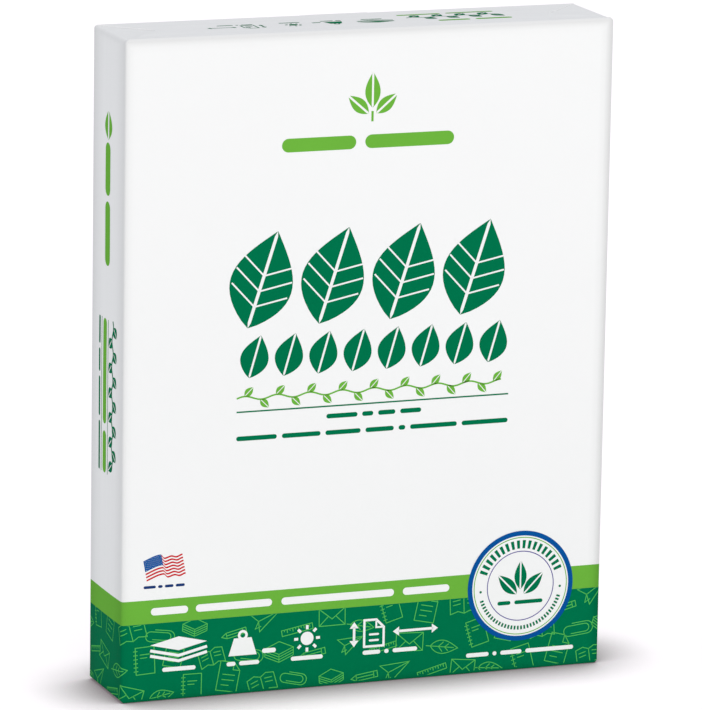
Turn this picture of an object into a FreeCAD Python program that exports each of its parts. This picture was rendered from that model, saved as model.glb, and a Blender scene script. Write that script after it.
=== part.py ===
"""A sealed ream of letter paper, standing on its bottom end as it is shown on a shelf.

Four hundred sheets are held in one printed paper wrapper. The wrapper goes once round the stack
and laps over itself down the middle of the back. At each end its side ears are tucked in first,
then the back flap is folded down, and then the front flap is glued over it. Nothing shows of the
sheets, so the whole pack is one solid, and its outer form is the form of the folded wrapper.

Frame: millimetres, +Z up, the printed front faces -Y, and +X is on the right seen from the front.
The origin is the middle of the bottom end, on the surface that the pack stands on.
"""
import FreeCAD
import Part
import os
from FreeCAD import Vector

# The sheets
sheet_width = 215.9
sheet_height = 279.4
sheet_count = 400
sheet_pitch = 0.105  # one sheet and the air under it

# The wrapper
wrap_thickness = 0.15  # laminated wrapping paper
side_slack = 0.2  # between the sheets and the wrapper, at each long side
end_slack = 0.2  # between the sheets and the wrapper, at each end
side_edge_radius = 1.2  # where the wrapper turns round the long edges
fold_radius = 1.2  # where the wrapper turns over the ends
flap_overlap = 20.0  # how far the front flap of an end lies over the back flap
lap_width = 25.0  # where the wrapper lies double on the back
lap_ramp = 6.0  # the slope down from the double layer to the single one

# The height of each layer on an end above the sheets, in thicknesses of the wrapper: the ear lies
# on the sheets, and each flap brings a triangle of folded ear with it
layers_at_ear = 1
layers_at_inner_flap = layers_at_ear + 2
layers_at_lap = layers_at_inner_flap + 1
layers_at_outer_flap = layers_at_lap + 1

# How far a layer reaches into the one below it, so that they fuse to one solid
bite = 2 * wrap_thickness

# What follows from these sizes
pack_width = sheet_width + 2 * (side_slack + wrap_thickness)
pack_depth = sheet_count * sheet_pitch + 2 * wrap_thickness
pack_height = sheet_height + 2 * (end_slack + layers_at_outer_flap * wrap_thickness)
front_y = -(pack_depth + wrap_thickness) / 2
back_y = front_y + pack_depth
flap_depth = (pack_depth + flap_overlap) / 2


def below_outer_flap(layers):
    """How far a layer on an end lies below the face of the outer flap."""
    return (layers_at_outer_flap - layers) * wrap_thickness


def rounded_box(radius, axis):
    """The wrapped stack with its ears tucked in, rounded along its four edges parallel to an axis."""
    foot = below_outer_flap(layers_at_ear)
    box = Part.makeBox(pack_width, pack_depth, pack_height - 2 * foot, Vector(-pack_width / 2, front_y, foot))
    edges = [edge for edge in box.Edges if abs(edge.tangentAt(edge.FirstParameter).dot(axis)) > 0.9]
    return box.makeFillet(radius, edges)


def wrapped_stack():
    """The stack in its wrapper, without the flaps. The turns meet in mitres, as folded paper does."""
    around = rounded_box(side_edge_radius, Vector(0, 0, 1))
    over_front_and_back = rounded_box(fold_radius, Vector(1, 0, 0))
    over_sides = rounded_box(fold_radius, Vector(0, 1, 0))
    return around.common(over_front_and_back).common(over_sides)


def fold_path(wall_y, inward, face_z, wall_z, reach):
    """The wrapper's line up a wall, round the fold and along the end, as edges from foot to tip."""
    bulge = fold_radius * (1 - 0.5 ** 0.5)
    turn_foot = Vector(0, wall_y, face_z - fold_radius)
    turn_middle = Vector(0, wall_y + inward * bulge, face_z - bulge)
    turn_top = Vector(0, wall_y + inward * fold_radius, face_z)
    return [
        Part.makeLine(Vector(0, wall_y, wall_z), turn_foot),
        Part.Arc(turn_foot, turn_middle, turn_top).toShape(),
        Part.makeLine(turn_top, Vector(0, wall_y + inward * reach, face_z)),
    ]


def end_flap(wall_y, inward, face_z):
    """One flap on the top end, turned over the fold from the wall at wall_y.

    Its side edges run inward at 45 degrees, along the folds that tucking in the ears leaves.
    """
    root_z = pack_height - below_outer_flap(layers_at_ear) - 2 * fold_radius
    tip_y = wall_y + inward * flap_depth
    skin = fold_path(wall_y, inward, face_z, root_z, flap_depth)
    underside = [
        Part.makeLine(Vector(0, tip_y, face_z), Vector(0, tip_y, root_z)),
        Part.makeLine(Vector(0, tip_y, root_z), Vector(0, wall_y, root_z)),
    ]
    strip = Part.Face(Part.Wire(skin + underside)).extrude(Vector(pack_width, 0, 0))
    strip.translate(Vector(-pack_width / 2, 0, 0))
    half_root = pack_width / 2 - side_edge_radius
    half_tip = half_root - flap_depth
    corners = [
        Vector(-half_root, wall_y, root_z),
        Vector(half_root, wall_y, root_z),
        Vector(half_tip, tip_y, root_z),
        Vector(-half_tip, tip_y, root_z),
    ]
    plan = Part.Face(Part.makePolygon(corners + corners[:1]))
    return strip.common(plan.extrude(Vector(0, 0, pack_height)))


def back_lap():
    """The double layer down the back, carried over both folds and along the inner flaps.

    The wrapper's free edge is on the right of its section, and the left side slopes away.
    """
    top_z = pack_height - below_outer_flap(layers_at_inner_flap)
    middle_z = pack_height / 2
    upper = fold_path(back_y, -1, top_z, middle_z, flap_depth)
    path = Part.Wire(Part.sortEdges(upper + upside_down(Part.Compound(upper)).Edges)[0])
    tip_y = back_y - flap_depth
    half = lap_width / 2
    section = [
        Vector(-half - lap_ramp, tip_y, top_z - bite),
        Vector(-half - lap_ramp, tip_y, top_z),
        Vector(-half, tip_y, top_z + wrap_thickness),
        Vector(half, tip_y, top_z + wrap_thickness),
        Vector(half, tip_y, top_z - bite),
    ]
    return path.makePipeShell([Part.makePolygon(section + section[:1])], True, False)


def upside_down(shape):
    """The same layer on the bottom end."""
    return shape.mirror(Vector(0, 0, pack_height / 2), Vector(0, 0, 1))


def wrapped_ream():
    """The whole sealed pack as one solid."""
    outer_flap = end_flap(front_y, 1, pack_height)
    inner_flap = end_flap(back_y, -1, pack_height - below_outer_flap(layers_at_inner_flap))
    layers = [inner_flap, upside_down(inner_flap), back_lap(), outer_flap, upside_down(outer_flap)]
    return wrapped_stack().fuse(layers).removeSplitter()


os.makedirs("parts", exist_ok=True)
ream = wrapped_ream()
ream.exportStep("parts/wrapped_ream.step")
print("solids", len(ream.Solids), "valid", ream.isValid(), "volume mm3", round(ream.Volume, 1))
print("box mm", [round(v, 3) for v in (ream.BoundBox.XLength, ream.BoundBox.YLength, ream.BoundBox.ZLength)])
print("low corner mm", [round(v, 3) for v in (ream.BoundBox.XMin, ream.BoundBox.YMin, ream.BoundBox.ZMin)])
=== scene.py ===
"""A sealed ream of letter paper in its folded and printed wrapper.

The wrapper is one sheet of laminated paper. It goes round the stack, laps over itself down the back
and is folded over both ends like an envelope. Its print is bands of colour round the foot, line
drawings of stationery, rows of leaves, bars in the place of words, a flag and a round seal.

Shapes are worked out in millimetres in the CAD frame: +Z up, the printed front faces -Y. A place on
the walls is (s, z): s is the way round the wrapper from the middle of the front towards +X.
"""
import math
import bmesh
import bpy
import numpy as np
from bpy.props import FloatProperty, FloatVectorProperty, PointerProperty
from bpy.types import Operator, Panel, PropertyGroup
from mathutils import Matrix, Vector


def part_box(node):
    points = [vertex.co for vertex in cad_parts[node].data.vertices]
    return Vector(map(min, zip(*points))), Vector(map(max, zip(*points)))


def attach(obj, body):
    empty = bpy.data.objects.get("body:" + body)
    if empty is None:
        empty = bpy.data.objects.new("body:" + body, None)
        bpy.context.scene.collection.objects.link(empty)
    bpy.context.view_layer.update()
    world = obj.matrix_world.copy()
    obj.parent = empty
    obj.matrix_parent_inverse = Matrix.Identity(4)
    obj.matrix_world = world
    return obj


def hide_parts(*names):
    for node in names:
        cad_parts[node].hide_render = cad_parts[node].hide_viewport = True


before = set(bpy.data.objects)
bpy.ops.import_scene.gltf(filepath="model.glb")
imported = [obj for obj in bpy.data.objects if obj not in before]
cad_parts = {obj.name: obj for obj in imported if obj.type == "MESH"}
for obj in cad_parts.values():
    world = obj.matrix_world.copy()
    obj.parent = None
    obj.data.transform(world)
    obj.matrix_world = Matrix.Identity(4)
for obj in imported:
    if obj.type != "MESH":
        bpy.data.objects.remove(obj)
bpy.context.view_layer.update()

bl_info = {
    "name": "Ream of paper",
    "version": (1, 0, 0),
    "blender": (4, 5, 0),
    "location": "3D View > Sidebar > Ream",
    "description": "Builds a sealed ream of letter paper in a folded, printed wrapper",
    "category": "Add Mesh",
}

MM = 0.001
PACK_NODE = "wrapped_ream"
STREAK = 0.05  # how far the sheets' edges shade the paper


def linear(hex_colour):
    """An sRGB hex value as linear red, green and blue."""
    shares = [int(hex_colour[i:i + 2], 16) / 255 for i in (1, 3, 5)]
    return tuple(c / 12.92 if c <= 0.04045 else ((c + 0.055) / 1.055) ** 2.4 for c in shares)


def length(name, description, default_mm):
    """A length in the sidebar, kept in metres."""
    return FloatProperty(name=name, description=description, default=default_mm * MM,
                         unit="LENGTH", precision=5)


def ink(name, description, hex_colour):
    """A colour in the sidebar."""
    return FloatVectorProperty(name=name, description=description, default=linear(hex_colour),
                               subtype="COLOR", size=3, min=0.0, max=1.0)


class ReamWrapperSizes(PropertyGroup):
    """Sizes of the wrapper that the CAD box doesn't give."""
    paper: length("Paper", "Thickness of the laminated wrapping paper", 0.15)
    long_edge_radius: length("Long edge radius", "Turn of the wrapper round the stack's long edges", 1.2)
    fold_radius: length("Fold radius", "Turn of the wrapper over each end", 1.2)
    flap_overlap: length("Flap overlap", "How far the front flap of an end lies over the back flap", 20.0)
    lap_width: length("Lap width", "Where the wrapper lies double down the back", 25.0)
    lap_ramp: length("Lap ramp", "Slope from the double layer down to the single one", 6.0)
    side_swell: length("Side swell", "How far the long sides stand out at their middle", 0.35)
    ripple: length("Ripple", "Height of the slack waves in the wrapper", 0.07)
    edge_curl: length("Edge curl", "How far the lap's free edge stands off the layer under it", 0.14)


class ReamPrintSizes(PropertyGroup):
    """Sizes of the main fields of the print."""
    foot_band: length("Foot band", "Height of the dark band at the foot", 33.8)
    upper_band: length("Upper band", "Height of the lime band above it", 10.2)
    drawing_line: length("Drawing line", "Width of the lines of the small drawings", 0.35)
    seal_radius: length("Seal radius", "Outer radius of the round seal", 24.2)


class ReamInkColours(PropertyGroup):
    """Colours of the paper and the inks."""
    paper_white: ink("Paper white", "Bleached coated wrapping paper", "#F5F5F5")
    raw_paper: ink("Raw paper", "The uncoated inner face of the wrapper", "#E9E8E3")
    lime: ink("Lime", "Yellow green ink of the upper band", "#6DB33F")
    deep_green: ink("Deep green", "Dark green ink of the foot band", "#00724A")
    drawing_green: ink("Drawing green", "Lighter green of the line drawings", "#54BE58")
    bright_blue: ink("Bright blue", "Blue ink of the seal's ring and the flag's canton", "#09529A")
    violet: ink("Violet", "Violet ink of the seal's inner line", "#4B3F93")
    flag_red: ink("Flag red", "Red ink of the flag", "#CA161F")
    navy: ink("Navy", "Navy ink of the bars under the flag", "#1F3A72")


class ReamStageSettings(PropertyGroup):
    """Where the camera stands and how strong the studio light is."""
    azimuth: FloatProperty(name="Azimuth", description="Bearing of the camera, from the front towards +X",
                           default=math.radians(-21.0), subtype="ANGLE")
    elevation: FloatProperty(name="Elevation", description="Height of the camera above the horizon",
                             default=math.radians(12.469), subtype="ANGLE")
    roll: FloatProperty(name="Roll", description="Turn of the camera about its line of sight",
                        default=math.radians(0.94), subtype="ANGLE")
    distance: length("Distance", "From the camera to the middle of the pack", 2500.0)
    aim_right: length("Aim right", "How far the view's middle lies left of the pack's middle", -0.251)
    aim_up: length("Aim up", "How far the view's middle lies under the pack's middle", 2.379)
    lens: FloatProperty(name="Lens", description="Focal length for a sensor 36 mm high", default=299.89,
                        unit="CAMERA")
    key_light: FloatProperty(name="Key light", default=1.07,
                             description="Soft light from the front, in watts a square metre")
    room_light: FloatProperty(name="Room light", default=0.765,
                              description="Brightness of the pale walls and ceiling")


# The folded wrapper as functions of place

def smooth(share):
    """The share held between 0 and 1, with a level start and end."""
    share = np.clip(share, 0, 1)
    return share * share * (3 - 2 * share)


class FoldedWrapper:
    """Turns places on the wrapper into points, as whole arrays.

    The level section is a rectangle of straight core lines with a round turn at each corner. A point
    is found from its core point, its outward bearing and its distance from the core.
    """
    # A flap keeps its width up to here from the middle, and narrows only beyond
    straight = 60.0
    # The folds hold the paper flat up to here from an end. Then the waves rise over slack_rise, the
    # swell of the long sides over swell_rise, and the lap's free edge curls over its last curl_width
    held_flat = 4.0
    slack_rise = 9.0
    swell_rise = 25.0
    curl_width = 3.0
    # The waves in the slack paper: share of the ripple, waves in one girth, mm upwards for each
    # radian, and where in the wave the front's middle lies
    slack_waves = ((1.0, 5, 41.0, 0.0), (0.5, 9, -23.7, 1.3), (0.6, 2, 12.7, 0.0))
    sag_depth = 0.09

    def __init__(self, sizes):
        low, high = (np.array(corner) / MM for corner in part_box(PACK_NODE))
        self.paper = sizes.paper / MM
        self.turn = sizes.long_edge_radius / MM
        self.fold_radius = sizes.fold_radius / MM
        self.half_lap = sizes.lap_width / MM / 2
        self.lap_ramp = sizes.lap_ramp / MM
        self.side_swell = sizes.side_swell / MM
        self.ripple = sizes.ripple / MM
        self.edge_curl = sizes.edge_curl / MM
        self.height = high[2]
        depth = high[1] - low[1] - self.paper
        self.flap = (depth + sizes.flap_overlap / MM) / 2 - self.turn
        self.centre_y = low[1] + depth / 2
        self.flat_x = (high[0] - low[0]) / 2 - self.turn
        self.flat_y = depth / 2 - self.turn
        # How far in from the front fold the outer flap meets the tip of the inner flap
        self.overlap = 2 * self.flat_y - self.flap
        a, b, quarter = self.flat_x, self.flat_y, math.pi / 2 * self.turn
        runs = [a, quarter, 2 * b, quarter, 2 * a, quarter, 2 * b, quarter, a]
        self.knots = np.concatenate([[0], np.cumsum(runs)])
        self.girth = self.knots[-1]
        self.core_x = np.array([0, a, a, a, a, -a, -a, -a, -a, 0])
        self.core_y = np.array([-b, -b, -b, b, b, b, b, -b, -b, -b])
        self.bearing = np.radians([-90, -90, 0, 0, 90, 90, 180, 180, 270, 270])
        # Layers below the outer flap's face: the front flap, the ears, the back flap, the ears again
        self.sunk = np.array([0, 0, 4, 4, 2, 2, 4, 4, 0, 0]) * self.paper

    def section(self, s):
        """Core point and bearing at s, each linear between the knots of the section."""
        around = np.mod(s, self.girth)
        x = np.interp(around, self.knots, self.core_x)
        y = np.interp(around, self.knots, self.core_y)
        return x, y, np.interp(around, self.knots, self.bearing)

    def end_level(self, s):
        """How far the layer that comes from s lies below the outer flap's face."""
        return np.interp(np.mod(s, self.girth), self.knots, self.sunk)

    def lap_lift(self, s):
        """One thickness of paper where the outer layer of the back lies on the inner one."""
        ramp = self.girth / 2 - self.half_lap - np.array([self.lap_ramp, 0])
        return np.interp(-s, ramp, [0, self.paper])

    def from_folds(self, s, z):
        """How far a place on the walls is from the nearest long edge, and from the nearer end."""
        x, y, bearing = self.section(s)
        on_side = np.abs(np.cos(bearing)) > 0.7
        from_edge = np.where(on_side, self.flat_y - np.abs(y), self.flat_x - np.abs(x))
        return from_edge, np.minimum(z, self.height - z)

    def slack(self, s, z):
        """How far the paper stands off: a parabola across the long sides, and three crossed sine waves.

        The waves close after one girth, so that both layers of the lap have the same ones. The lap's
        free edge isn't glued to its very end. All of it fades to nothing towards the pack's edges.
        """
        x, y, bearing = self.section(s)
        on_side = np.abs(np.cos(bearing)) ** 8
        from_edge, from_end = self.from_folds(s, z)
        past_held = from_end - self.held_flat
        fade = smooth(np.minimum(from_edge, past_held) / self.slack_rise)
        way = s * 2 * math.pi / self.girth
        waves = sum(share * np.sin(count * way + z / rise + start)
                    for share, count, rise, start in self.slack_waves)
        grown = np.clip(from_end / self.swell_rise, 0, 1) ** 0.5
        swell = self.side_swell * (1 - (y / self.flat_y) ** 2) * grown
        from_free_edge = s + self.girth / 2 + self.half_lap
        free = np.clip(1 - from_free_edge / self.curl_width, 0, 1) ** 2
        curl = self.edge_curl * free * smooth(past_held / self.swell_rise)
        return on_side * swell + self.ripple * fade * waves + curl

    def fold_grey(self, s, z):
        """How much painted shade darkens the walls towards their folds, by bell curves of the way from them.

        The curve is steep on the broad faces and wide on the long sides. On the broad faces it is
        faint at the long edge at -X, and deep at the one at +X. It stands in for the shading of the
        rounded edges.
        """
        x, _, bearing = self.section(s)
        broad = np.sin(bearing) ** 2
        # Share of the deeper painted shade, rising across the broad faces towards the long edge at +X
        drawn = broad * smooth(0.5 + x / self.flat_x)
        from_edge, from_end = self.from_folds(s, z)

        def mixed(long_side, broad_left, broad_right):
            """Blends the value of the long sides with those of the broad faces at -X and at +X."""
            return long_side + (broad_left - long_side) * broad + (broad_right - broad_left) * drawn

        across = np.exp(-((from_edge + self.turn) / mixed(7.7, 2.1, 2.8)) ** 2)
        along = np.exp(-(from_end / 2.4) ** 2)
        return np.maximum(mixed(0.14, 0.10, 0.26) * across, mixed(0.14, 0.20, 0.20) * along)

    def points(self, x, y, bearing, out, z):
        """Points at a distance out from the core along the bearing."""
        x, y = x + np.cos(bearing) * out, y + np.sin(bearing) * out + self.centre_y
        return np.stack(np.broadcast_arrays(x, y, z), -1)

    def wall(self, s, z, lift=0.0):
        """A point of the walls."""
        x, y, bearing = self.section(s)
        return self.points(x, y, bearing, self.turn + self.lap_lift(s) + self.slack(s, z) + lift, z)

    def fold(self, s, angle, end):
        """A point of the turn over an end.

        It is a quarter of an ellipse, from the wall at an angle of 0 to the end at 90 degrees.
        """
        x, y, bearing = self.section(s)
        out = (self.turn + self.lap_lift(s)) * np.cos(angle)
        turned = (self.fold_radius + self.lap_lift(s)) * np.sin(angle)
        rise = self.height / 2 - self.end_level(s) - self.fold_radius + turned
        return self.points(x, y, bearing, out, self.height / 2 + end * rise)

    def sag(self, x, y):
        """How far the flaps of an end lie in between their glued stretches: a squared product of sines.

        It comes back every 66 mm along the end and every 35 mm across it.
        """
        return self.sag_depth * (np.sin(x / 21.0 + 0.6) * np.sin(y / 11.0 + 1.0)) ** 2

    def pressed(self, x, y):
        """How far the outer flap is pressed down: beside its folded edges on to the ears, and at its tip.

        The tip lies on the inner flap, and rides up over the lap.
        """
        reach = y + self.flat_y
        beside = self.flat_x - reach - np.abs(x)

        def from_here_on(way):
            """Rises from 4 mm to half a millimetre before a way in from the fold."""
            return smooth((reach - way + 4) / 3.5)

        onto_ear = np.exp(-(beside / 18) ** 2) * smooth(reach / 4) * (1 - from_here_on(self.overlap))
        lap = [-self.half_lap - self.lap_ramp, -self.half_lap, self.half_lap, self.half_lap + 1.5]
        at_tip = (1 - np.interp(x, lap, [0, 1, 1, 0])) * from_here_on(self.flap)
        return self.paper * (2 * onto_ear + 0.93 * at_tip)

    def end_points(self, x, y, rise, end):
        """Points of an end, at a rise above the pack's middle."""
        z = self.height / 2 + end * rise
        return np.stack(np.broadcast_arrays(x, y + self.centre_y, z), -1)

    def end_flap(self, s, reach, end):
        """A point of a flap or ear, at its way inwards from the fold. A flap narrows at 45 degrees."""
        x, y, bearing = self.section(s)
        squeezed = self.straight + (np.abs(x) - self.straight) * (1 - reach / (self.flat_x - self.straight))
        flap_x = np.where(np.abs(x) < self.straight, x, np.sign(x) * squeezed)
        flap = np.abs(np.sin(bearing)) > 0.99
        x = np.where(flap, flap_x, x - np.sign(x) * reach)
        y = np.where(flap, y - np.sign(y) * reach, y)
        pressed = np.where(np.sin(bearing) < -0.99, self.pressed(x, y), 0)
        rise = self.height / 2 - self.end_level(s) + self.lap_lift(s) - self.sag(x, y) - pressed
        return self.end_points(x, y, rise, end)

    def folded_edge(self, s, reach, around, end):
        """A point of a flap's side edge, where the paper turns back under it: half an ellipse.

        The turn reaches down to the ear, or to the inner flap where that lies beneath.
        """
        x, y, bearing = self.section(s)
        out_x, out_y = np.sign(x), -np.sign(y)
        x, y = x - out_x * reach, y + out_y * reach
        outer = np.sin(bearing) < -0.99
        pressed = np.where(outer, self.pressed(x, y), 0)
        under = np.where(outer & (reach > self.overlap), 2, 4) * self.paper
        level = self.end_level(s)
        drop = (under - level - pressed) / 2 * (1 - np.cos(around))
        out = self.paper * np.sin(around) * np.clip(reach / 0.5, 0, 1)
        rise = self.height / 2 - level - self.sag(x, y) - pressed - drop
        return self.end_points(x + out_x * out * 0.7, y + out_y * out * 0.7, rise, end)

    def end_print(self, x, y, lift=0.0):
        """A point on the outer flap of the top end."""
        y = y - self.centre_y
        return self.end_points(x, y, self.height / 2 - self.sag(x, y) - self.pressed(x, y) + lift, 1)

    def turns_a_corner(self, patch):
        """Whether a patch of the walls reaches round a long edge, where its cells have to be short."""
        low, high = patch[..., 0].min(), patch[..., 0].max()
        return any((self.knots[k] - low) % self.girth < high - low + 2 * self.turn for k in (2, 4, 6, 8))

    def left_side(self, y):
        """s of the place y across the long side at -X."""
        return -(self.flat_x + math.pi / 2 * self.turn + self.flat_y + y - self.centre_y)


def steps(stops, step):
    """Values from the first stop to the last, evenly spaced between neighbours, with every stop kept."""
    runs = [(a, b, math.ceil(abs(b - a) / step)) for a, b in zip(stops, stops[1:])]
    return np.concatenate([[stops[0]]] + [np.linspace(a, b, max(1, parts) + 1)[1:] for a, b, parts in runs])


# Meshes from grids of points

def grid_faces(rows, columns):
    """The four corners of each cell of a grid, anticlockwise where columns run right and rows run up."""
    index = np.arange(rows * columns).reshape(rows, columns)
    return np.stack([index[:-1, :-1], index[:-1, 1:], index[1:, 1:], index[1:, :-1]], -1).reshape(-1, 4)


def mesh_from_grids(name, grids, materials, fold_grey=None, material_of=None, kept=None):
    """One mesh from several grids of points in millimetres, with the points that meet merged.

    The painted shade towards the folds is a list of arrays, one value for each point; material_of
    gives each face's slot from the middle of the face; kept tells which cells become faces.
    """
    points = np.concatenate([grid.reshape(-1, 3) for grid in grids])
    starts = np.cumsum([0] + [grid.shape[0] * grid.shape[1] for grid in grids])
    faces = np.concatenate([grid_faces(*grid.shape[:2]) + start for grid, start in zip(grids, starts)])
    if kept is not None:
        used, faces = np.unique(faces[kept], return_inverse=True)
        points, faces = points[used], faces.reshape(-1, 4)
    mesh = bpy.data.meshes.new(name)
    mesh.from_pydata((points * MM).tolist(), [], faces.tolist())
    # The painted shade towards the folds, kept as an attribute of the points
    if fold_grey is not None:
        layer = mesh.attributes.new("fold_grey", "FLOAT", "POINT")
        values = np.concatenate([painted_shade.ravel() for painted_shade in fold_grey])
        layer.data.foreach_set("value", values.astype(np.float32))
    if material_of is not None:
        slots = material_of(points[faces].mean(axis=1))
        mesh.polygons.foreach_set("material_index", slots.astype(np.int32))
    for material in materials:
        mesh.materials.append(material)
    shape = bmesh.new()
    shape.from_mesh(mesh)
    bmesh.ops.remove_doubles(shape, verts=shape.verts, dist=0.002 * MM)
    shape.to_mesh(mesh)
    shape.free()
    mesh.polygons.foreach_set("use_smooth", np.ones(len(mesh.polygons), dtype=bool))
    piece = bpy.data.objects.new(name, mesh)
    bpy.context.scene.collection.objects.link(piece)
    return piece


def with_thickness(piece, thickness, inner_slot):
    """Gives a sheet its thickness inwards, with the slots of its inner face counted from inner_slot."""
    solid = piece.modifiers.new("paper thickness", "SOLIDIFY")
    solid.thickness = thickness * MM
    solid.offset = -1
    solid.material_offset = inner_slot
    solid.material_offset_rim = inner_slot
    graph = bpy.context.evaluated_depsgraph_get()
    mesh = bpy.data.meshes.new_from_object(piece.evaluated_get(graph), depsgraph=graph)
    piece.modifiers.clear()
    piece.data = mesh
    mesh.set_sharp_from_angle(angle=math.radians(40))


# Flat shapes of the print, as grids of places in millimetres

def double_areas(patch):
    """Twice the area of each cell, by the cross product of its diagonals: negative where it faces away."""
    p, q = patch[1:, 1:] - patch[:-1, :-1], patch[1:, :-1] - patch[:-1, 1:]
    return p[..., 0] * q[..., 1] - p[..., 1] * q[..., 0]


def facing(patch):
    """The patch with its faces turned to the viewer: its rows are reversed where its area is negative."""
    return patch if double_areas(patch).sum() > 0 else patch[::-1]


def between(lower, upper, rows=1):
    """The patch between two lines of as many points, straight from one to the other."""
    share = np.linspace(0, 1, rows + 1)[:, None, None]
    return facing(np.array(lower) * (1 - share) + np.array(upper) * share)


def bar(left, right, middle, thickness):
    """A level bar with half-round ends: its half height is the circle's near the ends."""
    radius = min(thickness, right - left) / 2
    turn = np.linspace(0, math.pi / 2, 6)
    start = left + radius * (1 - np.cos(turn))
    straight = steps([left + radius, right - radius], 4.0)[1:-1]
    x = np.concatenate([start, straight, (left + right) - start[::-1]])
    into_end = np.clip(radius - np.minimum(x - left, right - x), 0, None)
    half = np.sqrt(np.clip(radius ** 2 - into_end ** 2, 0, None)) * thickness / (2 * radius)
    lower, upper = np.stack([x, middle - half], -1), np.stack([x, middle + half], -1)
    return between(lower, upper, max(1, round(thickness / 4)))


def upright(patch, middle_x, middle_y):
    """A level patch about the origin turned a quarter clockwise, to read downwards, and put in place."""
    return facing(np.stack([patch[..., 1] + middle_x, -patch[..., 0] + middle_y], -1))


def words(middle, thickness, *stops):
    """Bars in the place of words, from pairs of left and right ends."""
    return [bar(left, right, middle, thickness) for left, right in zip(stops[::2], stops[1::2])]


def ring(centre, inner, outer, start=0.0, end=360.0):
    """A round or part-round ring, from its polar formula."""
    angle = np.radians(np.linspace(start, end, max(3, round(abs(end - start) / 4)) + 1))
    way = np.stack([np.cos(angle), np.sin(angle)], -1)
    rows = max(1, round((outer - inner) / 4))
    return between(np.array(centre) + way * outer, np.array(centre) + way * inner, rows)


def line(points, width):
    """A line of even width along straight runs. Each corner is a mitre on the mean of its two normals."""
    points = np.array(points, dtype=float)
    gaps = np.hypot(*np.diff(points, axis=0).T)
    apart = gaps > 1e-6
    points = points[np.append(True, apart)]
    way = np.concatenate([[0], np.cumsum(gaps[apart])])
    at = steps(list(way), 5.0)
    points = np.stack([np.interp(at, way, points[:, 0]), np.interp(at, way, points[:, 1])], -1)
    run = np.diff(points, axis=0)
    normal = np.stack([-run[:, 1], run[:, 0]], -1) / np.hypot(run[:, 0], run[:, 1])[:, None]
    before, after = np.vstack([normal[:1], normal]), np.vstack([normal, normal[-1:]])
    if np.allclose(points[0], points[-1]):
        before[0], after[-1] = normal[-1], normal[0]
    mitre = before + after
    mitre /= np.maximum((mitre * after).sum(axis=1), 0.35)[:, None]
    return between(points - mitre * width / 2, points + mitre * width / 2)


def leaf_axes(base, tip):
    """The base, the way from there to the tip, and the unit direction across it."""
    along = np.subtract(tip, base, dtype=float)
    return np.array(base, dtype=float), along, np.array([along[1], -along[0]]) / np.hypot(*along)


def leaf(base, tip, width, vein=0.9, rows=3):
    """Two half blades with a bare vein between them. The half width is a sine of the way to the tip."""
    base, along, across = leaf_axes(base, tip)
    t = np.linspace(0, 1, 19)[:, None]
    edge = width / 2 * np.sin(math.pi * t ** 0.85)
    inner = np.minimum(edge, vein / 2)
    spine = base + along * t
    return [between(spine + across * inner * side, spine + across * edge * side, rows) for side in (-1, 1)]


def sprig(centre, upper, lower, vein=0.9):
    """An upper leaf, and a lower one on either side. Each is given by its base, tip and width."""
    leaves = []
    for side, (base, tip, width) in ((1, upper), (1, lower), (-1, lower)):
        leaves += leaf(*(np.multiply(end, (side, 1)) + centre for end in (base, tip)), width, vein)
    return leaves


def vine(left, right, middle, height, count, fullness=0.36, vein=0.35):
    """A stem that waves as a sine, with leaves set on it by turns above and below.

    fullness is the width of a leaf as a share of the vine's height.
    """
    stem_end = right - height * 0.4

    def stem(x):
        """The place of the stem at x. It has half a wave for each leaf."""
        wave = np.sin((x - left) * math.pi * count / (right - left))
        return np.stack([x, middle + height * 0.09 * wave], -1)

    leaves = [line(stem(np.linspace(left, stem_end, 6 * count)), 2 * vein)]
    for k in range(count):
        foot = left + (k + 0.5) * (stem_end - left) / count
        tip = (foot + height * 0.42, middle + (-1) ** k * height * 0.5)
        leaves += leaf(stem(foot), tip, height * fullness, vein, rows=1)
    return leaves


def leaf_veins(base, tip, width, thickness):
    """Bare side veins of a large leaf, in pairs that leave the middle at equal steps."""
    base, along, across = leaf_axes(base, tip)
    rise = along * 0.17
    return [line([base + along * t, base + along * t + rise + across * side * width * 0.46], thickness)
            for t in (0.22, 0.38, 0.54) for side in (-1, 1)]


def stack_pictogram(x, z):
    """A slanted sheet with its front corner at (x, z), and the edges of two more under it."""
    half, rise, step = 12.6, 3.0, 2.3
    patches = [between([(x - half, z + rise), (x, z)], [(x, z + 2 * rise), (x + half, z + rise)])]
    for down in (step, 2 * step):
        patches += [line([(x - half, z + rise - down), (x, z - down), (x + half, z + rise - down)], 1.25)]
    return patches


def weight_pictogram(x, z):
    """A scale weight with its ring, its foot's middle at (x, z), and the bar of its unit."""
    body = between([(x - 6.3, z), (x + 6.3, z)], [(x - 3.9, z + 7.6), (x + 3.9, z + 7.6)])
    return [body, ring((x, z + 8.8), 1.1, 2.2), bar(x + 8.7, x + 14.9, z + 1.2, 2.0)]


def sun_pictogram(x, z):
    """A disc with eight rays."""
    patches = [ring((x, z), 0.0, 2.9)]
    for angle in np.radians(np.arange(0, 360, 45)):
        patches += [line([(x + r * math.cos(angle), z + r * math.sin(angle)) for r in (4.0, 5.8)], 1.2)]
    return patches


def sheet_pictogram(x, z):
    """A sheet with a folded corner and two lines of writing, its lower left corner at (x, z)."""
    right, top, fold = x + 8.8, z + 11.6, 3.4
    outline = [(x, z), (right, z), (right, top - fold), (right - fold, top), (x, top), (x, z)]
    corner = [(right - fold, top), (right - fold, top - fold), (right, top - fold)]
    writing = [bar(x + 2.1, x + 6.7, z + up, 0.9) for up in (2.6, 5.2)]
    return [line(outline, 1.0), line(corner, 0.8)] + writing


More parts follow.
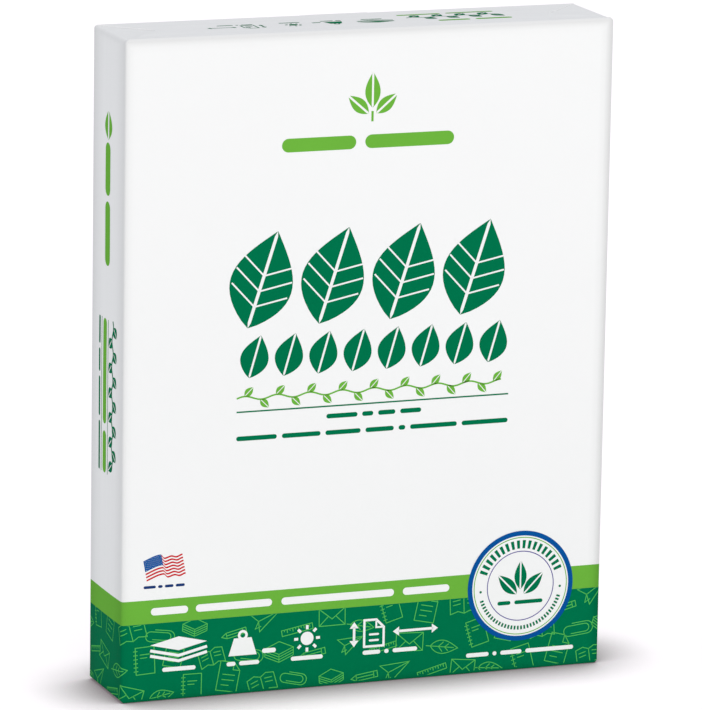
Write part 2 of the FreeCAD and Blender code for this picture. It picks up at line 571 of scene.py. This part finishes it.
def double_arrow(low, high):
    """A line between two places with a triangle at each end, 2.8 mm long and 4 mm wide."""
    low, high = np.array(low), np.array(high)
    along = (high - low) / np.hypot(*(high - low))
    side = 2.0 * np.array([-along[1], along[0]])
    patches = [line([low, high], 1.1)]
    # The foot of each triangle lies a little way in, so that no gap shows
    for foot, tip in ((high - 0.6 * along, 2.8 * along), (low + 0.6 * along, -2.8 * along)):
        patches += [between([foot - side, foot + side], [foot + tip] * 2)]
    return patches


def pictograms():
    """What the pack holds, for the foot band: a stack, a weight, a sun and a sheet with two arrows."""
    return (stack_pictogram(-83.0, 21.4) + weight_pictogram(-54.5, 16.8) + sun_pictogram(-25.6, 21.8)
            + sheet_pictogram(0.2, 16.0)
            + double_arrow((-4.4, 18.4), (-4.4, 25.0)) + double_arrow((15.4, 21.7), (31.6, 21.7))
            + words(13.4, 1.8, -90.2, -75.4, -61.6, -57.6, -56.0, -47.0, -32.8, -18.4)
            + words(13.4, 1.8, -0.4, 7.6, 9.4, 11.4, 13.2, 24.4))


# Small line drawings of stationery, each in a box about one unit across

def arc(x, y, radius, start, end, count=9):
    """Points of a round arc, angles in degrees."""
    angle = np.radians(np.linspace(start, end, count))
    return [(x + radius * math.cos(a), y + radius * math.sin(a)) for a in angle]


def blade_outline(width):
    """The closed outline of a leaf that lies along x."""
    t = np.linspace(0, 1, 11)
    bow = width / 2 * np.sin(math.pi * t ** 0.8)
    return list(zip(t, bow)) + list(zip(t[::-1], -bow[::-1]))


def frame_outline(left, low, right, high):
    """The closed outline of an upright rectangle."""
    return [(left, low), (right, low), (right, high), (left, high), (left, low)]


def level(left, right, *heights):
    """Level strokes of the same length."""
    return [[(left, y), (right, y)] for y in heights]


def slanted(rise, left, right, *heights):
    """Strokes of the same length that rise from left to right."""
    return [[(left, y), (right, y + rise)] for y in heights]


DRAWINGS = {
    "sheet": [[(0, 0), (0.72, 0), (0.72, 0.74), (0.48, 1), (0, 1), (0, 0)],
              [(0.48, 1), (0.48, 0.74), (0.72, 0.74)]]
             + level(0.14, 0.58, 0.56, 0.38) + level(0.14, 0.42, 0.2),
    "envelope": [frame_outline(0, 0, 1, 0.64), [(0, 0.64), (0.5, 0.24), (1, 0.64)],
                 [(0, 0), (0.36, 0.35)], [(1, 0), (0.64, 0.35)]],
    "pencil": [[(0, 0.11), (0.2, 0), (1, 0), (1, 0.22), (0.2, 0.22), (0, 0.11)], [(0.2, 0), (0.2, 0.22)],
               [(0.86, 0), (0.86, 0.22)]] + level(0.2, 0.86, 0.11),
    "book": [[(0.5, 0.06), (0.28, 0.14), (0, 0.06), (0, 0.64), (0.28, 0.72), (0.5, 0.62),
              (0.72, 0.72), (1, 0.64), (1, 0.06), (0.72, 0.14), (0.5, 0.06), (0.5, 0.62)]]
            + slanted(0.04, 0.1, 0.38, 0.5, 0.36) + slanted(-0.04, 0.62, 0.9, 0.54, 0.4),
    "leaf": [blade_outline(0.46)] + level(-0.16, 0.86, 0)
            + [[(0.3, 0), (0.46, 0.17 * side)] for side in (1, -1)]
            + [[(0.52, 0), (0.66, 0.12 * side)] for side in (1, -1)],
    "paper_plane": [[(0, 0.5), (1, 0.86), (0.5, 0), (0.36, 0.34), (0, 0.5)], [(1, 0.86), (0.36, 0.34)],
                    [(0.36, 0.34), (0.32, 0.06), (0.5, 0.2)]],
    "clip": [[(0.24, 0.12), (0.78, 0.12)] + arc(0.78, 0.26, 0.14, -90, 90)
             + [(0.16, 0.4)] + arc(0.16, 0.22, 0.18, 90, 270)
             + [(0.84, 0.04)] + arc(0.84, 0.26, 0.22, -90, 90) + [(0.3, 0.48)]],
    "notebook": [frame_outline(0.08, 0, 0.76, 0.96)] + level(0.24, 0.6, 0.7) + level(0.24, 0.5, 0.58)
                + level(0, 0.16, *np.linspace(0.12, 0.84, 6)),
    "ruler": [frame_outline(0, 0, 1.1, 0.2)]
             + [[(x, 0.2), (x, 0.2 - tick)]
                for x, tick in zip(np.linspace(0.1, 1.0, 10), [0.07, 0.12] * 5)],
    "stack": [[(0, 0.5), (0.5, 0.72), (1, 0.5), (0.5, 0.28), (0, 0.5)]]
             + [[(0, 0.5 - d), (0.5, 0.28 - d), (1, 0.5 - d)] for d in (0.09, 0.18, 0.27)]
             + [[(x, y), (x, y - 0.27)] for x, y in ((0, 0.5), (0.5, 0.28), (1, 0.5))],
}


def drawing(name, middle, size, turn, width):
    """One drawing, scaled, turned and put in place."""
    cos, sin = math.cos(turn), math.sin(turn)
    turned = np.array([[cos, sin], [-sin, cos]])
    return [line((np.array(run) - [0.5, 0.4]) * size @ turned + middle, width) for run in DRAWINGS[name]]


def within(patches, low, high):
    """The patches cut at a low and a high corner: points outside move to it, flat patches are left out.

    A patch that crosses a cut has its cells made short first, so that its slope holds up to there.
    """
    crossing = [(p.min(axis=(0, 1)) < low).any() or (p.max(axis=(0, 1)) > high).any() for p in patches]
    cut = [np.clip(finer(p, 0.5) if crosses else p, low, high) for p, crosses in zip(patches, crossing)]
    return [p for p in cut if np.ptp(p, axis=(0, 1)).min() > 1e-6]


def finer(patch, step):
    """The same patch with its cells divided evenly until none is longer than the step."""
    for axis in (0, 1):
        longest = np.linalg.norm(np.diff(patch, axis=axis), axis=-1).max()
        parts = math.ceil(longest / step)
        last = patch.shape[axis] - 1
        at = np.arange(last * parts + 1) / parts
        before = np.minimum(at.astype(int), last - 1)
        share = (at - before).reshape((-1, 1, 1) if axis == 0 else (1, -1, 1))
        patch = patch.take(before, axis) * (1 - share) + patch.take(before + 1, axis) * share
    return patch


# Materials

def add_node(tree, kind, sockets=(), **settings):
    """Adds a node with its settings. A socket gets a value, or a link where the value is another socket."""
    node = tree.nodes.new(kind)
    for key, value in settings.items():
        setattr(node, key, value)
    for key, value in dict(sockets).items():
        if isinstance(value, bpy.types.NodeSocket):
            tree.links.new(value, node.inputs[key])
        else:
            node.inputs[key].default_value = value
    return node


def new_material(name):
    """A material with its node tree, its shader and the places on the object."""
    material = bpy.data.materials.new(name)
    material.use_nodes = True
    tree = material.node_tree
    place = add_node(tree, "ShaderNodeTexCoord").outputs["Object"]
    return material, tree, tree.nodes["Principled BSDF"], place


def laminated_print(name, colour, cover):
    """Flexo print on bleached wrapping paper under a thin matt film.

    The eye gets a smooth, nearly matt skin, ink that lies in faint clouds, the fibres of the paper
    under it, and on the long sides the edges of the sheets, which press through as fine streaks.
    Towards the folds painted shade darkens the colour, standing in for the shading of the rounded
    edges. cover is how unevenly the ink lies.
    """
    if name in bpy.data.materials:
        return bpy.data.materials[name]
    material, tree, shader, place = new_material(name)
    # Sheets of 0.1 mm lie side by side through the thickness. They press through in bundles of 3.5 mm
    stretch = (3.0, 1 / 0.0035, 3.0)
    bundled = add_node(tree, "ShaderNodeMapping", {"Vector": place, "Scale": stretch}).outputs[0]
    # Clouds of ink about 14 mm across, and fibres of 0.5 mm drawn at 0.9 mm so that they show
    clouds, fibres, streaks = (
        add_node(tree, "ShaderNodeTexNoise", {"Vector": at, "Scale": scale, "Detail": detail}).outputs[0]
        for at, scale, detail in ((place, 1 / 0.014, 3.0), (place, 1 / 0.0009, 2.0), (bundled, 1.0, 3.0)))
    # Painted shade: this darkens the colour towards the folds
    fold_grey = add_node(tree, "ShaderNodeAttribute", attribute_name="fold_grey").outputs["Fac"]
    shade = 1 - 0.8 * cover - 0.5 * STREAK
    for pattern, share in ((clouds, cover), (fibres, 0.6 * cover), (streaks, STREAK), (fold_grey, -1.0)):
        shade = add_node(tree, "ShaderNodeMath", {0: pattern, 1: share, 2: shade},
                         operation="MULTIPLY_ADD").outputs[0]
    tinted = add_node(tree, "ShaderNodeVectorMath", {0: tuple(colour), "Scale": shade}, operation="SCALE")
    tree.links.new(tinted.outputs[0], shader.inputs["Base Color"])
    rough = add_node(tree, "ShaderNodeMath", {0: clouds, 1: 0.1, 2: 0.55}, operation="MULTIPLY_ADD")
    tree.links.new(rough.outputs[0], shader.inputs["Roughness"])
    grain = add_node(tree, "ShaderNodeBump", {"Height": fibres, "Distance": 0.012 * MM}).outputs["Normal"]
    pressed = add_node(tree, "ShaderNodeBump", {"Height": streaks, "Distance": 0.07 * MM, "Normal": grain})
    tree.links.new(pressed.outputs["Normal"], shader.inputs["Normal"])
    # A film of IOR 1.5, matted so that it returns only a little of a clear one's light
    shader.inputs["IOR"].default_value = 1.5
    shader.inputs["Specular IOR Level"].default_value = 0.005
    return material


def raw_paper(colour):
    """Machine-finished wrapping paper, unprinted: the wrapper's dull inner face and its cut edge.

    Its fibres of 0.5 mm are drawn at 1.2 mm, so that they show.
    """
    material, tree, shader, place = new_material("raw_wrapping_paper")
    fibres = add_node(tree, "ShaderNodeTexNoise", {"Vector": place, "Scale": 1 / 0.0012, "Detail": 4.0})
    shade = add_node(tree, "ShaderNodeMath", {0: fibres.outputs["Fac"], 1: 0.12, 2: 0.94},
                     operation="MULTIPLY_ADD").outputs[0]
    tinted = add_node(tree, "ShaderNodeVectorMath", {0: tuple(colour), "Scale": shade}, operation="SCALE")
    tree.links.new(tinted.outputs[0], shader.inputs["Base Color"])
    shader.inputs["Roughness"].default_value = 0.85
    return material


def paper_white():
    """The bare white of the coated paper, also where the print leaves it open."""
    return laminated_print("coated_white_paper", bpy.context.scene.ream_inks.paper_white, 0.012)


def printed(name):
    """One of the inks, laid solid."""
    return laminated_print(name + "_flexo_ink", getattr(bpy.context.scene.ream_inks, name), 0.07)


def wall_print(name, form, patches, material, layer=1):
    """One colour of the print on the walls, each layer 0.03 mm above the last, without its flat cells."""
    patches = [finer(patch, 0.4) if form.turns_a_corner(patch) else patch for patch in patches]
    kept = np.concatenate([double_areas(patch).ravel() > 1e-3 for patch in patches])
    grids = [form.wall(patch[..., 0], patch[..., 1], 0.03 * layer) for patch in patches]
    return print_piece(name, grids, material, kept)


def print_piece(name, grids, material, kept=None):
    """A piece of the print, which rides on the pack."""
    piece = mesh_from_grids(name, grids, [material], kept=kept)
    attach(piece, "root")
    return piece


# Operators

class REAM_OT_wrapper(Operator):
    """Folds the wrapper round the stack, with its lap, ears and flaps"""
    bl_idname = "ream.wrapper"
    bl_label = "Wrapper"

    def execute(self, context):
        scene = context.scene
        form = FoldedWrapper(scene.ream_wrapper)
        sizes, inks = scene.ream_print, scene.ream_inks
        foot_top = sizes.foot_band / MM
        lime_top = foot_top + sizes.upper_band / MM
        half = form.girth / 2
        # The knots of the section are the ends of the panels: front, right, back, left and front again
        front_end, right_start, right_end, back_start = form.knots[1:5]
        # The grids are finer near the folds: these are ways in from one
        beside = np.array([0, 1, 2.5, 5, 9])
        back_right = list(back_start + beside) + [half + form.half_lap]
        back_left = [-half - form.half_lap, -half + form.half_lap, -half + form.half_lap + form.lap_ramp]
        right = list(right_start + beside) + list(right_end - beside[::-1])
        front = list(-front_end + beside) + list(front_end - beside[::-1])
        panels = [
            (back_left + list(-back_start - beside[::-1]), True), ([-back_start, -right_end], False),
            ([-stop for stop in right[::-1]], True), ([-right_start, -front_end], False),
            (front, True), ([front_end, right_start], False), (right, True),
            ([right_end, back_start], False), (back_right, True),
        ]
        quarter = np.linspace(0, math.pi / 2, 8)[1:, None]
        reach = steps([0, 1, 2.5, 5, form.overlap, form.flap - 4, form.flap - 0.4, form.flap], 1.2)[:, None]
        low_rows = form.fold_radius + beside
        rows = steps(list(low_rows) + [foot_top, lime_top] + list(form.height - low_rows[::-1]), 5.0)
        grids, painted_shades = [], []
        for stops, with_flap in panels:
            corner = not with_flap
            s = steps(stops, 0.5 if corner else 5.0)[None, :]
            z = np.broadcast_to(rows[:, None], (len(rows), s.shape[1])).copy()
            z[0], z[-1] = z[0] + form.end_level(s)[0], z[-1] - form.end_level(s)[0]
            parts = [form.fold(s, quarter[::-1], -1), form.wall(s, z), form.fold(s, quarter, 1)]
            # Painted shade towards the folds, one value for each point; on the turns over the ends it fades
            # out
            wall_painted_shade = form.fold_grey(s, z)
            painted_shade = [wall_painted_shade[:1] * np.cos(quarter[::-1]), wall_painted_shade, wall_painted_shade[-1:] * np.cos(quarter)]
            if with_flap:
                parts = [form.end_flap(s, reach[:0:-1], -1)] + parts + [form.end_flap(s, reach[1:], 1)]
                plain = np.zeros((len(reach) - 1, s.shape[1]))
                painted_shade = [plain] + painted_shade + [plain]
            grids.append(np.concatenate(parts))
            painted_shades.append(np.concatenate(painted_shade))
        # The flaps' folded side edges go on from the flaps, to the right (1) or to the left (-1)
        around = np.radians(np.linspace(0, 150, 7))[None, :]
        for corner, way in ((-back_start, 1), (-front_end, -1), (front_end, 1), (back_start, -1)):
            for end in (-1, 1):
                edge = form.folded_edge(corner, reach[::end], around[:, ::way], end)
                grids.append(edge)
                painted_shades.append(np.zeros(edge.shape[:2]))
        outer = [paper_white(), printed("lime"), printed("deep_green")]
        inner = [raw_paper(inks.raw_paper)] * len(outer)

        def band(middles):
            """Slot 2 below the foot band's top, 1 up to the lime band's top, 0 above."""
            z = middles[:, 2]
            return 2 * (z < foot_top) + ((z >= foot_top) & (z < lime_top))

        wrapper = mesh_from_grids("folded_wrapper", grids, outer + inner, painted_shades, band)
        with_thickness(wrapper, form.paper * 0.9, len(outer))
        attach(wrapper, "root")
        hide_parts(PACK_NODE)
        return {"FINISHED"}


class REAM_OT_front_print(Operator):
    """Prints the sprig, the rows of leaves and the bars on the white of the front"""
    bl_idname = "ream.front_print"
    bl_label = "Front print"

    def execute(self, context):
        form = FoldedWrapper(context.scene.ream_wrapper)
        middles = (-47.6, -15.9, 15.9, 47.6)
        large = [((x - 6.5, 157.5), (x + 6.5, 198.0), 28.0) for x in middles]
        small = [((x - 2.6, 136.2), (x + 2.6, 154.2), 12.6) for x in np.linspace(-50.6, 56.7, 8)]
        dark = sum([leaf(*one, vein=1.4, rows=4) for one in large], [])
        dark += sum([leaf(*one) for one in small], [])
        dark += [line([(-58.5, 121.9), (63.8, 121.9)], 0.65)]
        dark += words(117.6, 2.0, -18.5, -4.5, -2.4, 2.6, 4.8, 12.6, 14.8, 24.3)
        dark += words(110.5, 2.0, -58.5, -40.5, -38.2, -21.0, -18.8, -3.0, -0.8, 12.0)
        dark += words(110.5, 2.0, 14.2, 17.2, 19.4, 40.6, 42.8, 63.8)
        wall_print("deep_green_front_print", form, dark, printed("deep_green"))
        bare = sum([leaf_veins(*one, 0.7) for one in large], [])
        wall_print("bare_leaf_veins", form, bare, paper_white(), 2)
        lime = vine(-58.5, 64.0, 127.7, 9.2, 17) + words(233.8, 5.8, -39.9, -7.0, -3.0, 36.7)
        lime += sprig((0, 242.2), ((0, 5.8), (0, 21.0), 6.8), ((1.7, 3.4), (11.0, 11.4), 5.8))
        lime += [line([(0, 242.2), (0, 246.6)], 1.0)]
        wall_print("lime_front_print", form, lime, printed("lime"))
        return {"FINISHED"}


class REAM_OT_band_print(Operator):
    """Prints the line drawings round the foot band, and the pictograms and bars on both bands"""
    bl_idname = "ream.band_print"
    bl_label = "Band print"

    def execute(self, context):
        form = FoldedWrapper(context.scene.ream_wrapper)
        sizes = context.scene.ream_print
        foot_top, width = sizes.foot_band / MM, sizes.drawing_line / MM
        lime_middle = foot_top + sizes.upper_band / MM / 2
        names = list(DRAWINGS)
        sheet_end = form.girth / 2 + form.half_lap
        spacing = 15.0
        lines = []
        for row, z in enumerate((30.4, 17.8, 5.2)):
            for k, s in enumerate(np.arange(-sheet_end, sheet_end + 8, spacing)):
                turn = math.radians(16) * math.sin(2.4 * k + 1.7 * row)
                size = 11.8 + math.sin(1.3 * k + row)
                s_middle = s + spacing / 2 * (row % 2) + 1.2 * math.sin(1.9 * k)
                z_middle = z + 1.3 * math.sin(3.1 * k + row)
                name = names[(3 * k + 4 * row) % len(names)]
                lines += drawing(name, (s_middle, z_middle), size, turn, width)
        low, high = (0.2 - sheet_end, form.fold_radius + form.paper), (sheet_end - 0.2, foot_top - 0.1)
        wall_print("stationery_line_drawings", form, within(lines, low, high), printed("drawing_green"))
        bars = words(8.2, 1.8, 47.0, 57.4, 59.2, 61.0, 62.8, 72.6, 74.4, 96.6)
        bars += words(lime_middle, 3.2, -95.5, -79.0, -75.6, -41.6, -37.4, 13.4, 17.4, 38.7)
        wall_print("bare_pictograms_and_bars", form, pictograms() + bars, paper_white(), 2)
        return {"FINISHED"}


class REAM_OT_seal(Operator):
    """Prints the round seal over the bands"""
    bl_idname = "ream.seal"
    bl_label = "Round seal"

    def execute(self, context):
        form = FoldedWrapper(context.scene.ream_wrapper)
        outer = context.scene.ream_print.seal_radius / MM
        middle = np.array([71.4, 37.2])
        wall_print("seal_bare_disc", form, [ring(middle, 0, outer - 0.5)], paper_white(), 3)
        for name, ink_name, low, high in (("blue_ring", "bright_blue", 0.913, 1.0),
                                          ("violet_line", "violet", 0.62, 0.636),
                                          ("lime_line", "lime", 0.872, 0.888)):
            band = ring(middle, outer * low, outer * high)
            wall_print("seal_" + name, form, [band], printed(ink_name), 4)
        # Broad ticks round the top and fine ones round the foot
        ticks = ((0.68, 0.83, 2.1, (22, 158, 18)), (0.73, 0.80, 1.3, (198, 342, 32)))
        marks = [ring(middle, outer * low, outer * high, angle - half, angle + half)
                 for low, high, half, spread in ticks for angle in np.linspace(*spread)]
        marks += [ring(middle + np.array([x, -1.5]), 0, 0.55) for x in (-outer * 0.755, outer * 0.755)]
        marks += sprig(middle, ((0, -1.6), (0, 11.2), 5.6), ((1.6, -3.6), (10.4, 5.4), 5.6), vein=0.7)
        marks += words(middle[1] - 7.2, 1.7, *(middle[0] + np.array([-10.4, -4.4, -2.6, 10.4])))
        wall_print("seal_deep_green_marks", form, marks, printed("deep_green"), 4)
        return {"FINISHED"}


class REAM_OT_flag(Operator):
    """Prints the small flag that waves above the bands"""
    bl_idname = "ream.flag"
    bl_label = "Flag"

    def execute(self, context):
        form = FoldedWrapper(context.scene.ream_wrapper)

        # The cloth swells from the hoist to a fold, and waves twice beyond: its crests and troughs in turn
        turns = np.array([-0.2, 0.44, 0.54, 0.72, 0.84, 1.0])
        heights = np.array([-0.9, 2.2, 0.75, 1.5, 1.0, 1.9])

        def cloth(u, v):
            """A place on the flag. The cloth is level at each crest and trough, and leans at the hoist."""
            k = np.clip(np.searchsorted(turns, u) - 1, 0, len(turns) - 2)
            share = smooth((u - turns[k]) / (turns[k + 1] - turns[k]))
            wave = heights[k] + (heights[k + 1] - heights[k]) * share
            return np.stack([-99.0 + 17.2 * u + 1.6 * (1 - v), 52.4 + 8.8 * v + wave], -1)

        def field(left, right, low, high):
            """A part of the flag between shares of its length and height."""
            u, v = np.meshgrid(np.linspace(left, right, 49), np.linspace(low, high, 3))
            return cloth(u, v)

        stripe, canton = 1 / 13, 0.46
        red = [field(canton if k > 5 else 0.0, 1.0, k * stripe, (k + 1) * stripe) for k in range(0, 13, 2)]
        wall_print("flag_red_stripes", form, red, printed("flag_red"))
        wall_print("flag_canton", form, [field(0.0, canton, 6 * stripe, 1.0)], printed("bright_blue"))
        bars = words(49.6, 1.2, -98.8, -93.4, -92.4, -90.4, -89.4, -85.6, -84.6, -80.6)
        wall_print("navy_bars", form, bars, printed("navy"))
        stars = [(canton * (i + 1) / 12, 6 * stripe + 7 * stripe * (j + 1) / 10)
                 for j in range(9) for i in range(j % 2, 11, 2)]
        # Each star is a dot with six corners
        dots = [ring(cloth(np.array(u), np.array(v)), 0, 0.12)[:, ::15] for u, v in stars]
        wall_print("flag_stars", form, dots, paper_white(), 2)
        return {"FINISHED"}


class REAM_OT_side_and_end_print(Operator):
    """Prints the leaves and bars on the long side at -X and on the top end"""
    bl_idname = "ream.side_and_end_print"
    bl_label = "Side and end print"

    def execute(self, context):
        form = FoldedWrapper(context.scene.ream_wrapper)

        def reading_down(patches, y, z):
            """Level patches about the origin, turned to read downwards with their tops to the front."""
            return [upright(p, form.left_side(y), z) for p in patches]

        lime = reading_down(words(0, 6.0, -26, -3.6, -1.2, 26), -0.2, 209.0)
        lime += reading_down(words(0, 4.4, -33, 12, 15, 33), 1.8, 127.5)
        lime += reading_down(leaf((6.4, 0), (-6.4, 0), 9.0, vein=1.5), -0.6, 242.5)
        wall_print("lime_side_print", form, lime, printed("lime"))
        dark = reading_down(vine(-33.5, 33.5, 0, 9.6, 12, 0.5, 0.5), -8.0, 127.5)
        dark += reading_down(words(0, 1.9, -33, -21, -19, -9, -7, 10, 12, 33), 8.8, 127.5)
        for y in (-2.3, 6.0):
            dark += reading_down([line([(-33, 0), (33, 0)], 0.5)], y, 127.5)
        wall_print("deep_green_side_print", form, dark, printed("deep_green"))
        # The end reads from behind: the pictograms are turned by half and stand at 0.64 of their size
        end_dark = [patch * -0.64 + (-45.5, 10.3) for patch in pictograms()]
        end_dark += vine(23, 68, 0.8, 10.5, 8, 0.45, 0.4)
        end_lime = words(8.4, 2.4, 21.4, 41, 43.5, 65) + words(-8.8, 2.4, 33.7, 48, 50.5, 66.9)
        for name, patches in (("deep_green", end_dark), ("lime", end_lime)):
            grids = [form.end_print(patch[..., 0], patch[..., 1], 0.03) for patch in patches]
            print_piece(name + "_end_print", grids, printed(name))
        return {"FINISHED"}


class REAM_OT_stage(Operator):
    """Sets the pale floor, the soft studio light and the camera"""
    bl_idname = "ream.stage"
    bl_label = "Stage"

    def execute(self, context):
        settings = context.scene.ream_stage
        self.set_floor()
        self.set_light(settings)
        self.set_camera(settings)
        context.scene.view_settings.view_transform = "Standard"
        return {"FINISHED"}

    def set_floor(self):
        """A pale matt floor 8 m square.

        It is seen a step lighter, so that it runs into the white. Within 4 cm of what stands on it a
        painted shadow darkens it: its seen colour follows the ambient occlusion there, as in a deep corner.
        """
        mesh = bpy.data.meshes.new("floor")
        mesh.from_pydata([(-4, -4, 0), (4, -4, 0), (4, 4, 0), (-4, 4, 0)], [], [(0, 1, 2, 3)])
        floor = bpy.data.objects.new("floor", mesh)
        bpy.context.scene.collection.objects.link(floor)
        material = bpy.data.materials.new("matt_studio_floor")
        material.use_nodes = True
        tree = material.node_tree
        tree.nodes.clear()
        seen = seen_directly(tree)
        pale = (0.9, 0.9, 0.9, 1.0)
        matt = add_node(tree, "ShaderNodeBsdfDiffuse", {"Color": pale}).outputs[0]
        # Painted shadow: the ambient occlusion within 36 mm darkens the floor's seen colour, beside its real
        # shadow
        open_sky = add_node(tree, "ShaderNodeAmbientOcclusion", {"Distance": 0.036}, samples=24)
        corner = add_node(tree, "ShaderNodeMapRange",
                          {"Value": open_sky.outputs["AO"], "From Min": 0.45, "From Max": 0.98})
        dark, light = (0.33, 0.275, 0.295, 1.0), (1.0, 0.95, 0.97, 1.0)
        shade = add_node(tree, "ShaderNodeMix", {0: corner.outputs[0], 6: dark, 7: light},
                         data_type="RGBA").outputs[2]
        shaded = add_node(tree, "ShaderNodeBsdfDiffuse", {"Color": shade}).outputs[0]
        glow = add_node(tree, "ShaderNodeEmission", {"Color": shade, "Strength": 0.32}).outputs[0]
        lifted = add_node(tree, "ShaderNodeAddShader", {0: shaded, 1: glow}).outputs[0]
        shown = add_node(tree, "ShaderNodeMixShader", {0: seen, 1: matt, 2: lifted}).outputs[0]
        add_node(tree, "ShaderNodeOutputMaterial", {"Surface": shown})
        mesh.materials.append(material)

    def set_light(self, settings):
        """A pale room, seen as full white, and one large soft lamp behind the camera."""
        world = bpy.data.worlds.new("studio_room")
        world.use_nodes = True
        tree = world.node_tree
        tree.nodes.clear()
        seen = seen_directly(tree)
        pale = {"Color": (0.983, 0.999, 1.035, 1.0), "Strength": settings.room_light}
        full = {"Color": (1.0, 1.0, 1.0, 1.0), "Strength": 1.0}
        room, white = (add_node(tree, "ShaderNodeBackground", sockets).outputs[0] for sockets in (pale, full))
        shown = add_node(tree, "ShaderNodeMixShader", {0: seen, 1: room, 2: white}).outputs[0]
        add_node(tree, "ShaderNodeOutputWorld", {"Surface": shown})
        bpy.context.scene.world = world
        lamp = bpy.data.lights.new("key_softbox", "SUN")
        lamp.angle = math.radians(30)
        lamp.energy = settings.key_light
        lamp.color = (1.0, 0.97, 0.90)
        key = bpy.data.objects.new("key_softbox", lamp)
        key.matrix_world = placed(view_axes([-0.09, -1.0, 0.11]), [-0.1, -2.4, 0.4])
        bpy.context.scene.collection.objects.link(key)

    def set_camera(self, settings):
        """The photograph's camera: a long lens, turned a little about its line of sight."""
        a, e = settings.azimuth, settings.elevation
        back = [math.sin(a) * math.cos(e), -math.cos(a) * math.cos(e), math.sin(e)]
        axes = view_axes(back, settings.roll)
        middle = np.mean([list(corner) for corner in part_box(PACK_NODE)], axis=0)
        place = middle + axes @ [-settings.aim_right, -settings.aim_up, settings.distance]
        data = bpy.data.cameras.new("camera")
        data.sensor_fit = "VERTICAL"
        data.sensor_height = 36.0
        data.lens = settings.lens
        data.clip_end = 20.0
        camera = bpy.data.objects.new("camera", data)
        camera.matrix_world = placed(axes, place)
        bpy.context.scene.collection.objects.link(camera)
        bpy.context.scene.camera = camera


def seen_directly(tree):
    """1 for rays from the camera, and for those that reach it by a reflection or through glass."""
    path = add_node(tree, "ShaderNodeLightPath").outputs
    total = path["Is Camera Ray"]
    for ray in ("Is Glossy Ray", "Is Transmission Ray"):
        total = add_node(tree, "ShaderNodeMath", {0: total, 1: path[ray]},
                         operation="ADD", use_clamp=True).outputs[0]
    return total


def view_axes(back, roll=0.0):
    """Right, up and back, as columns, of what looks against the direction back, turned by the roll."""
    back = np.array(back) / np.linalg.norm(back)
    right = np.cross([0.0, 0.0, 1.0], back)
    right /= np.linalg.norm(right)
    up = np.cross(back, right)
    cos, sin = math.cos(roll), math.sin(roll)
    return np.stack([right * cos + up * sin, up * cos - right * sin, back], 1)


def placed(axes, place):
    """The matrix of an object with these axes at this place."""
    turn = np.eye(4)
    turn[:3, :3] = axes
    turn[:3, 3] = place
    return Matrix(turn.tolist())


class REAM_PT_sidebar(Panel):
    """Lists the steps that build the ream"""
    bl_idname = "REAM_PT_sidebar"
    bl_label = "Ream of paper"
    bl_space_type = "VIEW_3D"
    bl_region_type = "UI"
    bl_category = "Ream"

    def draw(self, context):
        for settings in ("ream_wrapper", "ream_print", "ream_inks", "ream_stage"):
            group = getattr(context.scene, settings)
            box = self.layout.box()
            for key in group.__annotations__:
                box.prop(group, key)
        for step in STEPS:
            self.layout.operator(step.bl_idname)


GROUPS = {
    "ream_wrapper": ReamWrapperSizes,
    "ream_print": ReamPrintSizes,
    "ream_inks": ReamInkColours,
    "ream_stage": ReamStageSettings,
}
STEPS = (REAM_OT_wrapper, REAM_OT_front_print, REAM_OT_band_print, REAM_OT_seal, REAM_OT_flag,
         REAM_OT_side_and_end_print, REAM_OT_stage)


def register():
    for name, group in GROUPS.items():
        bpy.utils.register_class(group)
        setattr(bpy.types.Scene, name, PointerProperty(type=group))
    for step in STEPS + (REAM_PT_sidebar,):
        bpy.utils.register_class(step)


def unregister():
    for step in reversed(STEPS + (REAM_PT_sidebar,)):
        bpy.utils.unregister_class(step)
    for name, group in GROUPS.items():
        delattr(bpy.types.Scene, name)
        bpy.utils.unregister_class(group)


def main():
    """Builds the ream and its stage."""
    register()
    bpy.ops.ream.wrapper()
    bpy.ops.ream.front_print()
    bpy.ops.ream.band_print()
    bpy.ops.ream.seal()
    bpy.ops.ream.flag()
    bpy.ops.ream.side_and_end_print()
    bpy.ops.ream.stage()


if __name__ == "__main__":
    main()
